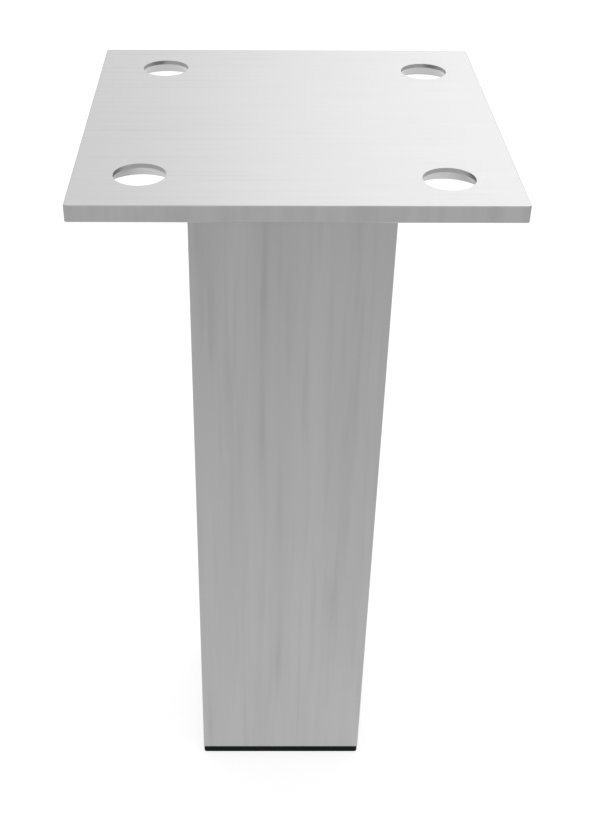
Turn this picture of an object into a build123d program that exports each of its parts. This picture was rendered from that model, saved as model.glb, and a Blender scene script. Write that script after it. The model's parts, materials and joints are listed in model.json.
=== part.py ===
from build123d import *

import os

# Square cabinet leg: a mounting plate welded to a square tube, with a push-in foot cap below.
# Millimetres. The origin is the centre of the foot's underside, +Z is up and the front faces -Y.

# Overall height, from the floor to the cabinet
leg_height = 103.25

# Mounting plate, cut from flat sheet
plate_width = 50.0
plate_thickness = 2.0
plate_corner_radius = 0.3
plate_edge_break = 0.1

# Screw holes through the plate, on a square that sits a little turned and off centre
hole_diameter = 6.0
countersink_diameter = 9.0
countersink_angle = 90.0
hole_pitch = 34.5
hole_pattern_turn = -1.7
hole_pattern_shift_x = 0.35
hole_pattern_shift_y = -0.25

# Square tube
tube_width = 25.0
tube_wall = 1.2
tube_corner_radius = 0.2
bore_corner_radius = 0.6
bore_end_chamfer = 0.2

# Fillet weld round the top of the tube
weld_leg = 1.5
weld_face_hollow = 0.15

# Foot cap: the flange that the leg stands on
flange_thickness = 1.4
flange_inset = 0.05
flange_corner_radius = 0.4
flange_edge_radius = 0.15

# Foot cap: the hollow plug that is pushed into the tube
plug_height = 12.0
plug_wall = 1.3
plug_side_gap = 0.7
plug_corner_radius = 1.0
plug_lead_in = 0.5
well_corner_radius = 0.5

# Foot cap: the gripping fins round the plug
fin_count = 3
fin_thickness = 0.9
fin_taper = 25.0
fin_first_height = 2.2
fin_pitch = 3.2
fin_clearance = 0.03

# Heights above the floor, and widths that follow from the sizes above
tube_bottom = flange_thickness
tube_top = leg_height - plate_thickness
tube_length = tube_top - tube_bottom
bore_width = tube_width - 2 * tube_wall
flange_width = tube_width - 2 * flange_inset
plug_width = bore_width - 2 * plug_side_gap
well_width = plug_width - 2 * plug_wall
fin_width = bore_width - 2 * fin_clearance


def rounded_square(width, corner_radius, height):
    """A square outline with rounded corners, centred on the leg's axis at a height above the floor."""
    return Plane.XY.offset(height) * RectangleRounded(width, width, corner_radius)


def make_mounting_plate():
    """The square plate that is screwed up against the cabinet, with its four countersunk holes."""
    plate = extrude(rounded_square(plate_width, plate_corner_radius, tube_top), plate_thickness)
    plate = chamfer(plate.faces().filter_by(Axis.Z).edges(), plate_edge_break)
    row_direction = Vector(1, 0, 0).rotate(Axis.Z, hole_pattern_turn)
    underside = Plane(
        origin=(hole_pattern_shift_x, hole_pattern_shift_y, tube_top),
        x_dir=row_direction,
        z_dir=(0, 0, -1),
    )
    screw_hole = CounterSinkHole(
        radius=hole_diameter / 2,
        counter_sink_radius=countersink_diameter / 2,
        depth=2 * plate_thickness,
        counter_sink_angle=countersink_angle,
    )
    for spot in GridLocations(hole_pitch, hole_pitch, 2, 2):
        plate -= underside * spot * screw_hole
    return plate


def make_leg_tube():
    """The upright, a plain length of square tube whose lower bore edge is eased for the cap."""
    outside = extrude(rounded_square(tube_width, tube_corner_radius, tube_bottom), tube_length)
    bore = extrude(rounded_square(bore_width, bore_corner_radius, tube_bottom), tube_length)
    tube = outside - bore
    end_face = tube.faces().sort_by(Axis.Z).first
    return chamfer(end_face.inner_wires().edges(), bore_end_chamfer)


def make_weld_bead():
    """The slightly hollow fillet weld in the corner between the tube and the plate's underside."""
    tube_outline = rounded_square(tube_width, tube_corner_radius, tube_top).wire()
    along = tube_outline % 0
    outward = along.cross(Vector(0, 0, 1))
    section_plane = Plane(origin=tube_outline @ 0, x_dir=outward, z_dir=along)
    with BuildSketch(section_plane) as section:
        with BuildLine():
            Line((0, 0), (weld_leg, 0))
            SagittaArc((weld_leg, 0), (0, weld_leg), weld_face_hollow)
            Line((0, weld_leg), (0, 0))
        make_face()
    return sweep(section.sketch, path=tube_outline)


def make_foot_cap():
    """The black moulded cap: a flange to stand on and a hollow plug with fins that grip the bore."""
    flange = extrude(rounded_square(flange_width, flange_corner_radius, 0), flange_thickness)
    flange = fillet(flange.faces().sort_by(Axis.Z).first.edges(), flange_edge_radius)
    plug = extrude(rounded_square(plug_width, plug_corner_radius, tube_bottom), plug_height)
    plug = chamfer(plug.faces().sort_by(Axis.Z).last.edges(), plug_lead_in)
    cap = flange + plug
    for fin_number in range(fin_count):
        fin_height = tube_bottom + fin_first_height + fin_number * fin_pitch
        fin_outline = rounded_square(fin_width, bore_corner_radius, fin_height)
        cap += extrude(fin_outline, fin_thickness, taper=fin_taper)
    well = extrude(rounded_square(well_width, well_corner_radius, tube_bottom), plug_height)
    return cap - well


pieces = {
    "mounting_plate": make_mounting_plate(),
    "leg_tube": make_leg_tube(),
    "weld_bead": make_weld_bead(),
    "foot_cap": make_foot_cap(),
}

os.makedirs("parts", exist_ok=True)
for name, piece in pieces.items():
    export_step(piece, f"parts/{name}.step")
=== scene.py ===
"""Looks for a square stainless steel cabinet leg: tube, mounting plate, weld and foot cap, in metres."""
import json
import math

import bmesh
import bpy
from mathutils import Matrix, Vector, noise


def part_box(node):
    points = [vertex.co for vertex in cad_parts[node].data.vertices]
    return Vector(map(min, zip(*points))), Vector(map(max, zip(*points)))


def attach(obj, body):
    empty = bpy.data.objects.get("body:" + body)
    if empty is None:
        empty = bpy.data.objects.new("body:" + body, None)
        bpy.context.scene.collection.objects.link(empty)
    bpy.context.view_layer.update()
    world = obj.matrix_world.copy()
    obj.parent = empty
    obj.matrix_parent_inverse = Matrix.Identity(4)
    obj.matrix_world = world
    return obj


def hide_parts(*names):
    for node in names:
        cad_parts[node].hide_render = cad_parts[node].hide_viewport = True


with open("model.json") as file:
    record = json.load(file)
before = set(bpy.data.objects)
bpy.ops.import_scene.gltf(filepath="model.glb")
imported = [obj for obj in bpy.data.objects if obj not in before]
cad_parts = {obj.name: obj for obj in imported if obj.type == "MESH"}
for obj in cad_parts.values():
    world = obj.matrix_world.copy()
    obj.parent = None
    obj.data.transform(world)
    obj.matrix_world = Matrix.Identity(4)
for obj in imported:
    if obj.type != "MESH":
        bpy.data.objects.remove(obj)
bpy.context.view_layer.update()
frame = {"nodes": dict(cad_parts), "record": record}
mm = 0.001


# Leg tube: a plain length of square stainless tube, brushed along its length with a belt. The belt leaves
# fine strokes and short, broader streaks outside, and the bore keeps the dull skin of the rolled strip.
class Value:
    """The output of a shader node. Arithmetic on it adds Math nodes to the same tree."""

    def __init__(self, nodes, socket):
        self.nodes = nodes
        self.socket = socket

    def math(self, operation, *others):
        return self.nodes.node("Math", {"operation": operation}, dict(enumerate((self, *others))))

    def swing(self, amount):
        """Noise as a change either way, which adds or takes away up to half the amount."""
        return (self - 0.5) * amount

    def __add__(self, other):
        return self.math("ADD", other)

    def __sub__(self, other):
        return self.math("SUBTRACT", other)

    def __rsub__(self, other):
        return self.nodes.node("Math", {"operation": "SUBTRACT"}, {0: other, 1: self})

    def __mul__(self, other):
        return self.math("MULTIPLY", other)

    def __truediv__(self, other):
        return self.math("DIVIDE", other)

    def __lt__(self, other):
        return self.math("LESS_THAN", other)

    def __gt__(self, other):
        return self.math("GREATER_THAN", other)

    def __abs__(self):
        return self.math("ABSOLUTE")

    __radd__ = __add__
    __rmul__ = __mul__


class Nodes:
    """The shader tree of one material or of the world, built up from nothing."""

    def __init__(self, owner):
        owner.use_nodes = True
        self.tree = owner.node_tree
        self.tree.nodes.clear()

    def node(self, kind, settings=None, sockets=None, output=0):
        made = self.tree.nodes.new("ShaderNode" + kind)
        for name, value in (settings or {}).items():
            setattr(made, name, value)
        for name, value in (sockets or {}).items():
            if isinstance(value, Value):
                self.tree.links.new(value.socket, made.inputs[name])
            else:
                made.inputs[name].default_value = value
        return Value(self, made.outputs[output])

    def object_place(self):
        return self.node("TexCoord", output="Object")

    def along(self, place, axis):
        return self.node("SeparateXYZ", {}, {"Vector": place}, output=axis)

    def noise(self, place, stroke, detail=2.0):
        """Noise whose blots are about as long as stroke says along X, Y and Z."""
        scale = Vector(1 / size for size in stroke)
        stretched = self.node("Mapping", {"vector_type": "POINT"}, {"Vector": place, "Scale": scale})
        return self.node("TexNoise", {}, {"Vector": stretched, "Scale": 1.0, "Detail": detail})

    def streaks(self, place, streak, patch):
        """How deep a belt's streaks are, each about as long as streak says, and deeper in some patches."""
        cut_below = 0.52
        cuts = (cut_below - self.noise(place, streak, detail=1.0)).math("MAXIMUM", 0)
        pressure = self.noise(place, patch, detail=1.0)
        return cuts * pressure

    def blend(self, factor, first, second):
        """A colour that goes from the first to the second as factor goes from 0 to 1."""
        return self.node("Mix", {"data_type": "RGBA"}, {0: factor, 6: first, 7: second}, output=2)

    def bump(self, height, depth):
        """The normal of a surface whose height rises by depth as height goes from 0 to 1."""
        return self.node("Bump", {}, {"Height": height, "Distance": depth})

    def surface(self, **sockets):
        named = {name.replace("_", " "): value for name, value in sockets.items()}
        self.end(self.node("BsdfPrincipled", {}, named))

    def end(self, shader, kind="OutputMaterial"):
        made = self.tree.nodes.new("ShaderNode" + kind)
        self.tree.links.new(shader.socket, made.inputs["Surface"])


def dress(piece, material):
    """Gives a piece one material in place of what it had."""
    piece.data.materials.clear()
    piece.data.materials.append(material)


def steel(grey):
    """The colour of bare stainless steel of a given brightness."""
    return (grey, grey, grey, 1)


tube_low, tube_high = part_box("leg_tube")
tube_wall = 1.2 * mm
bore_half = tube_high.x - tube_wall
bore_margin = 0.1 * mm
stroke_depth = 0.004 * mm

tube_steel = bpy.data.materials.new("brushed_tube_steel")
nodes = Nodes(tube_steel)
place = nodes.object_place()
# Painted light: the brushed steel is painted lighter towards the foot, as this runs from 0 at the tube's
# top to 1 at its end.
painted_light_down_the_leg = (tube_high.z - nodes.along(place, "Z")) / (tube_high.z - tube_low.z)
streaks = nodes.streaks(place, (1.1 * mm, 1.1 * mm, 27 * mm), patch=(3 * mm, 3 * mm, 10 * mm))
bands = nodes.noise(place, (2.2 * mm, 2.2 * mm, 40 * mm), detail=0.0)
strokes = nodes.noise(place, (0.14 * mm, 0.14 * mm, 14 * mm))
brightness = painted_light_down_the_leg * 0.68 - streaks * 1.15 + bands.swing(0.2) + strokes.swing(0.22) + 0.32
reach = abs(nodes.along(place, "X")).math("MAXIMUM", abs(nodes.along(place, "Y")))
in_bore = reach < bore_half + bore_margin
skin = nodes.noise(place, (0.5 * mm, 0.5 * mm, 3 * mm))
# The tube's steel is painted darker than the plate's faces, though it is the same steel: painted shade for
# the less light that reaches the tube's sides.
brushed = nodes.blend(brightness, steel(0.28), steel(0.46))
rolled = nodes.blend(skin, steel(0.24), steel(0.30))
nodes.surface(
    Base_Color=nodes.blend(in_bore, brushed, rolled),
    Metallic=1.0,
    Roughness=strokes.swing(0.2) + in_bore * 0.15 + 0.38,
    Normal=nodes.bump(strokes, stroke_depth),
)
dress(frame["nodes"]["leg_tube"], tube_steel)


# Mounting plate: a square of flat stainless sheet, brushed from left to right, with sheared edges and
# four screw holes. Each hole is drilled, then countersunk from below, which leaves fine turned rings.
plate_low, plate_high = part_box("mounting_plate")
plate_width = plate_high.x - plate_low.x
plate_thickness = plate_high.z - plate_low.z
edge_break = 0.1 * mm
face_margin = 0.01 * mm
land_margin = 0.03 * mm
ring_pitch = 0.24 * mm
mounts = {mount["name"]: mount for mount in frame["record"]["mounts"]}
openings = {opening["name"]: opening["box_m"] for opening in frame["record"]["physics"]["openings"]}
pattern = mounts["screw_pattern"]
hole_radius = pattern["dims"]["hole_r_mm"] * mm
hole_pitch = pattern["dims"]["pcd_mm"] * mm / math.sqrt(2)


def box_centre(corners):
    return (Vector(corners[0]) + Vector(corners[1])) / 2


hole_centres = [box_centre(openings[name]) for name in sorted(openings)]
pattern_centre = sum(hole_centres, Vector()) / len(hole_centres)
front_row = box_centre(openings["screw_hole_front_right"]) - box_centre(openings["screw_hole_front_left"])
pattern_turn = Vector((0, 0, math.atan2(front_row.y, front_row.x)))

plate_steel = bpy.data.materials.new("brushed_plate_steel")
nodes = Nodes(plate_steel)
place = nodes.object_place()
level = nodes.along(place, "Z")
is_face = (level > plate_high.z - face_margin) + (level < plate_low.z + face_margin)
on_lower_break = level < plate_low.z + edge_break + face_margin
pattern_place = nodes.node(
    "Mapping",
    {"vector_type": "TEXTURE"},
    {"Vector": place, "Location": pattern_centre, "Rotation": pattern_turn},
)
beside = abs(nodes.along(pattern_place, "X")) - hole_pitch / 2
behind = abs(nodes.along(pattern_place, "Y")) - hole_pitch / 2
hole_reach = (beside * beside + behind * behind).math("SQRT")
in_hole = hole_reach < hole_radius + plate_thickness
on_cone = in_hole * (hole_reach > hole_radius + land_margin)

to_the_left = (plate_high.x - nodes.along(place, "X")) / plate_width
# The streaks and strokes bite deepest on the left and fade towards the right, where the back-right
# softbox's highlight falls: a painted highlight that also leaves the face lighter to the right.
bite_fading_under_painted_highlight = to_the_left * 0.9 + 0.22
streaks = nodes.streaks(place, (24 * mm, 0.9 * mm, 8 * mm), patch=(8 * mm, 3 * mm, 8 * mm))
strokes = nodes.noise(place, (12 * mm, 0.18 * mm, 8 * mm))
brightness = (strokes.swing(0.55) - streaks * 3.0) * bite_fading_under_painted_highlight + 0.70
shear_marks = nodes.noise(place, (1.8 * mm, 1.8 * mm, 12 * mm))
rings = ((hole_reach + level) * (2 * math.pi / ring_pitch)).math("SINE") * 0.5 + 0.5
# Both faces are painted lighter than the tube and the sheared edges, though they are the same steel:
# painted light, as the top gets from above.
face = nodes.blend(brightness, steel(0.538), steel(0.593))
# The sheared edges are darker than the faces, partly because a sheared edge is duller and partly as painted
# shade on the plate's sides.
sheared_and_painted_shade = nodes.blend(shear_marks, steel(0.31), steel(0.405))
# The lower edge break is painted lighter than the sheared edges: a painted highlight that takes out the
# dark line it shows next to the tube.
edge_painted_shade_and_highlight = nodes.blend(on_lower_break, sheared_and_painted_shade, steel(0.52))
# The drilled land is painted darker and the countersunk cone lighter: painted shade and painted light for
# the shaded and lit bands of the hole's wall, over the real turned rings.
land_painted_shade = nodes.blend(rings, steel(0.34), steel(0.38))
cone_painted_light = nodes.blend(rings, steel(0.50), steel(0.55))
wall = nodes.blend(on_cone, land_painted_shade, cone_painted_light)
nodes.surface(
    Base_Color=nodes.blend(is_face, nodes.blend(in_hole, edge_painted_shade_and_highlight, wall), face),
    Metallic=1.0,
    Roughness=strokes.swing(0.2) + 0.38,
    Normal=nodes.bump(strokes * (1 - in_hole) + rings * in_hole, stroke_depth),
)
dress(frame["nodes"]["mounting_plate"], plate_steel)


# Weld bead: the fillet of stainless filler that joins the tube to the plate's underside. It is laid in one
# pass round the tube, and each dab of filler sets as a curved ripple that overlaps the one before.
weld_low, weld_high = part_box("weld_bead")
weld_leg = weld_high.z - weld_low.z
tube_corner_radius = 0.2 * mm
side_half = tube_high.x - tube_corner_radius
face_cuts = 7
face_hollow = 0.14 * mm
ripple_height = 0.07 * mm
ripple_bow = 0.5 * mm
ripples_a_side = 29
uneven_over = 2.5 * mm
side_slices = 180
corner_slices = 15
merge_distance = 0.002 * mm
quarter_turn = math.pi / 2
corner_run = (tube_corner_radius + weld_leg / 2) * quarter_turn
ripple_pitch = (2 * side_half + corner_run) / ripples_a_side


def lay_slice(bead, end, run, travelled, move):
    """Extrudes the open end of the bead by one slice, moves the new end on and returns its edges."""
    grown = bmesh.ops.extrude_edge_only(bead, edges=end)["geom"]
    verts = [part for part in grown if isinstance(part, bmesh.types.BMVert)]
    bmesh.ops.transform(bead, matrix=move, verts=verts)
    for vert in verts:
        vert[travelled] += run
    return [part for part in grown if isinstance(part, bmesh.types.BMEdge) and part.is_boundary]


def lay_quarter(bead, across, travelled):
    """The bead along the front of the tube and round the corner at its right, with a smooth face."""
    root = bead.verts.new((-side_half, tube_low.y, weld_high.z))
    plate_toe = bead.verts.new((-side_half, tube_low.y - weld_leg, weld_high.z))
    tube_toe = bead.verts.new((-side_half, tube_low.y, weld_low.z))
    tube_toe[across] = 1.0
    end = [bead.edges.new(pair) for pair in ((root, plate_toe), (plate_toe, tube_toe), (tube_toe, root))]
    bmesh.ops.subdivide_edges(bead, edges=end[1:2], cuts=face_cuts)
    end = bead.edges[:]
    side_run = 2 * side_half / side_slices
    step_right = Matrix.Translation((side_run, 0, 0))
    for _ in range(side_slices):
        end = lay_slice(bead, end, side_run, travelled, step_right)
    pivot = Matrix.Translation((side_half, -side_half, 0))
    corner_step = pivot @ Matrix.Rotation(quarter_turn / corner_slices, 4, "Z") @ pivot.inverted()
    for _ in range(corner_slices):
        end = lay_slice(bead, end, corner_run / corner_slices, travelled, corner_step)


def order_faces(bead):
    """Sorts the faces by their first and last corner, because extruding leaves them in a chance order."""
    bead.verts.index_update()
    count = len(bead.verts)

    def by_corners(face):
        corners = [vert.index for vert in face.verts]
        return min(corners) * count + max(corners)

    bead.faces.sort(key=by_corners)


def ripple_face(bead, across, travelled, crest):
    """Draws the bead's face in to its hollow section and raises the overlapping ripples on it."""
    for vert in bead.verts:
        crown = 4 * vert[across] * (1 - vert[across])
        core_x = max(-side_half, min(side_half, vert.co.x))
        core_y = max(-side_half, min(side_half, vert.co.y))
        outward = (vert.co - Vector((core_x, core_y, vert.co.z))).normalized()
        along_ripple = (vert[travelled] + ripple_bow * crown) / ripple_pitch
        vert[crest] = abs(math.sin(math.pi * along_ripple))
        unevenness = 1 + 0.5 * noise.noise(vert.co / uneven_over)
        ripple = ripple_height * unevenness * vert[crest]
        vert.co += (outward + Vector((0, 0, -1))).normalized() * crown * (ripple - face_hollow)


weld_mesh = bpy.data.meshes.new("rippled_weld")
bead = bmesh.new()
across = bead.verts.layers.float.new("across")
travelled = bead.verts.layers.float.new("travelled")
crest = bead.verts.layers.float.new("crest")
lay_quarter(bead, across, travelled)
quarter = bead.verts[:] + bead.edges[:] + bead.faces[:]
bmesh.ops.spin(
    bead, geom=quarter, cent=(0, 0, 0), axis=(0, 0, 1), angle=3 * quarter_turn, steps=3, use_duplicate=True
)
bmesh.ops.remove_doubles(bead, verts=bead.verts, dist=merge_distance)
order_faces(bead)
ripple_face(bead, across, travelled, crest)
bmesh.ops.recalc_face_normals(bead, faces=bead.faces)
bead.to_mesh(weld_mesh)
bead.free()
weld = bpy.data.objects.new("rippled_weld", weld_mesh)
bpy.context.scene.collection.objects.link(weld)

# The valleys between the ripples are darker, partly for the oxide left in them and partly as painted shade
# that shows the ripples' relief.
valley_oxide_and_painted_shade = (0.235, 0.233, 0.229, 1)
dull_crest = (0.34, 0.337, 0.332, 1)
bright_crest = (0.44, 0.438, 0.434, 1)
frost_depth = 0.006 * mm

weld_metal = bpy.data.materials.new("weld_metal")
nodes = Nodes(weld_metal)
place = nodes.object_place()
frost = nodes.noise(place, (0.12 * mm, 0.12 * mm, 0.12 * mm))
clouds = nodes.noise(place, (2.5 * mm, 2.5 * mm, 2.5 * mm))
on_crest = nodes.node("Attribute", {"attribute_name": "crest"}, output="Fac")
crest_colour = nodes.blend(clouds, dull_crest, bright_crest)
nodes.surface(
    Base_Color=nodes.blend(on_crest, valley_oxide_and_painted_shade, crest_colour),
    Metallic=1.0,
    Roughness=frost.swing(0.2) + 0.34,
    Normal=nodes.bump(frost, frost_depth),
)
dress(weld, weld_metal)
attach(weld, "root")
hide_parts("weld_bead")


# Foot cap: a black cap moulded in polyethylene and pushed into the tube's lower end. Its mould was
# spark-eroded, so the flange has a fine even grain that takes the shine off it.
deepest_black = (0.0003, 0.0028, 0.0050, 1)
palest_black = (0.0012, 0.0046, 0.0072, 1)
grain_depth = 0.012 * mm

cap_plastic = bpy.data.materials.new("black_cap_plastic")
nodes = Nodes(cap_plastic)
place = nodes.object_place()
grain = nodes.noise(place, (0.1 * mm, 0.1 * mm, 0.1 * mm))
clouds = nodes.noise(place, (4 * mm, 4 * mm, 4 * mm))
nodes.surface(
    Base_Color=nodes.blend(clouds, deepest_black, palest_black),
    Roughness=grain.swing(0.2) + 0.5,
    Specular_IOR_Level=0.075,
    Normal=nodes.bump(grain, grain_depth),
)
dress(frame["nodes"]["foot_cap"], cap_plastic)


# Floor and surroundings: a pale floor in a white room, lit from all round. They are white where they are
# looked at or reflected, and the light that falls on the floor still draws the leg's soft shadow.
def is_seen(nodes):
    """1 for what the eye, a reflection or glass looks at, and 0 where light is gathered."""
    by_eye = nodes.node("LightPath", output="Is Camera Ray")
    by_metal = nodes.node("LightPath", output="Is Glossy Ray")
    by_glass = nodes.node("LightPath", output="Is Transmission Ray")
    return by_eye.math("MAXIMUM", by_metal).math("MAXIMUM", by_glass)


white = (1, 1, 1, 1)
pale_grey = (0.35, 0.35, 0.35, 1)
floor_glow = 0.76
room_light = 0.8
floor_half = 4.0
floor_drop = 0.01 * mm
floor_mesh = bpy.data.meshes.new("floor")
sheet = bmesh.new()
bmesh.ops.create_grid(sheet, x_segments=1, y_segments=1, size=floor_half)
bmesh.ops.translate(sheet, verts=sheet.verts, vec=(0, 0, -floor_drop))
sheet.to_mesh(floor_mesh)
sheet.free()
floor = bpy.data.objects.new("floor", floor_mesh)
bpy.context.scene.collection.objects.link(floor)
floor_finish = bpy.data.materials.new("pale_floor")
nodes = Nodes(floor_finish)
matt = nodes.node("BsdfDiffuse", {}, {"Color": pale_grey})
glow = nodes.node("Emission", {}, {"Color": white, "Strength": is_seen(nodes) * floor_glow})
nodes.end(nodes.node("AddShader", {}, {0: matt, 1: glow}))
dress(floor, floor_finish)

world = bpy.data.worlds.new("white_room")
bpy.context.scene.world = world
nodes = Nodes(world)
seen = nodes.node("Background", {}, {"Color": white, "Strength": 1.0})
gathered = nodes.node("Background", {}, {"Color": white, "Strength": room_light})
nodes.end(nodes.node("MixShader", {}, {0: is_seen(nodes), 1: gathered, 2: seen}), "OutputWorld")


# Lamps: a wide softbox overhead, one set on its corner behind to the right, which the plate's top mirrors
# more and more towards its right side, and a dim panel on the floor that lights the tube from behind.
plate_centre = Vector((0, 0, plate_high.z))


def lamp(name, place, facing, watts, width, depth, turn=0.0):
    """A flat lamp, unseen by the camera, that faces one way and is turned about it by some degrees."""
    light = bpy.data.lights.new(name, "AREA")
    light.shape = "RECTANGLE"
    light.size = width
    light.size_y = depth
    light.energy = watts
    aim = facing.to_track_quat("-Z", "Y").to_matrix() @ Matrix.Rotation(math.radians(turn), 3, "Z")
    holder = bpy.data.objects.new(name, light)
    holder.matrix_world = Matrix.Translation(place) @ aim.to_4x4()
    holder.visible_camera = False
    bpy.context.scene.collection.objects.link(holder)


overhead_distance = 0.8
overhead = Vector((0.06, 0, 1)).normalized()
overhead_place = plate_centre + overhead_distance * overhead
lamp("overhead_softbox", overhead_place, -overhead, watts=0.8, width=0.8, depth=0.8)

back_right_distance = 0.6
back_right = Vector((0.334, 0.826, 0.454)).normalized()
back_right_place = plate_centre + back_right_distance * back_right
lamp("back_right_softbox", back_right_place, -back_right, watts=0.35, width=0.42, depth=0.42, turn=45)

upward = Vector((0, 0, 1))
panel_place = Vector((0, 0.33, 0.001))
lamp("back_floor_panel", panel_place, upward, watts=0.5, width=0.9, depth=0.4)


# Camera: where the photograph was taken from, worked out from the corners of the plate and the foot. It
# looks down on the leg from in front, and its axis meets the photograph off the centre of the frame.
plate_widths_away = Vector((-0.09967, -2.88561, 1.13176))
camera_place = plate_centre + plate_width * plate_widths_away
camera_pitch = math.radians(35.557)
camera_yaw = math.radians(0.3755)
camera_roll = math.radians(0.2942)
photo_width, photo_height = 594, 840
focal_pixels = 1223.04
axis_x, axis_y = 256.99, 425.49
forward = Vector(
    (
        math.sin(camera_yaw) * math.cos(camera_pitch),
        math.cos(camera_yaw) * math.cos(camera_pitch),
        -math.sin(camera_pitch),
    )
)
level_right = Vector((math.cos(camera_yaw), -math.sin(camera_yaw), 0))
level_up = level_right.cross(forward)
right = math.cos(camera_roll) * level_right + math.sin(camera_roll) * level_up
up = math.cos(camera_roll) * level_up - math.sin(camera_roll) * level_right
lens = bpy.data.cameras.new("camera")
lens.sensor_width = 36.0
lens.lens = lens.sensor_width * focal_pixels / photo_height
lens.shift_x = (photo_width / 2 - axis_x) / photo_height
lens.shift_y = (axis_y - photo_height / 2) / photo_height
lens.clip_start = 0.01
camera = bpy.data.objects.new("camera", lens)
camera.matrix_world = Matrix.Translation(camera_place) @ Matrix((right, up, -forward)).transposed().to_4x4()
bpy.context.scene.collection.objects.link(camera)
bpy.context.scene.camera = camera

bpy.context.scene.view_settings.view_transform = "Standard"
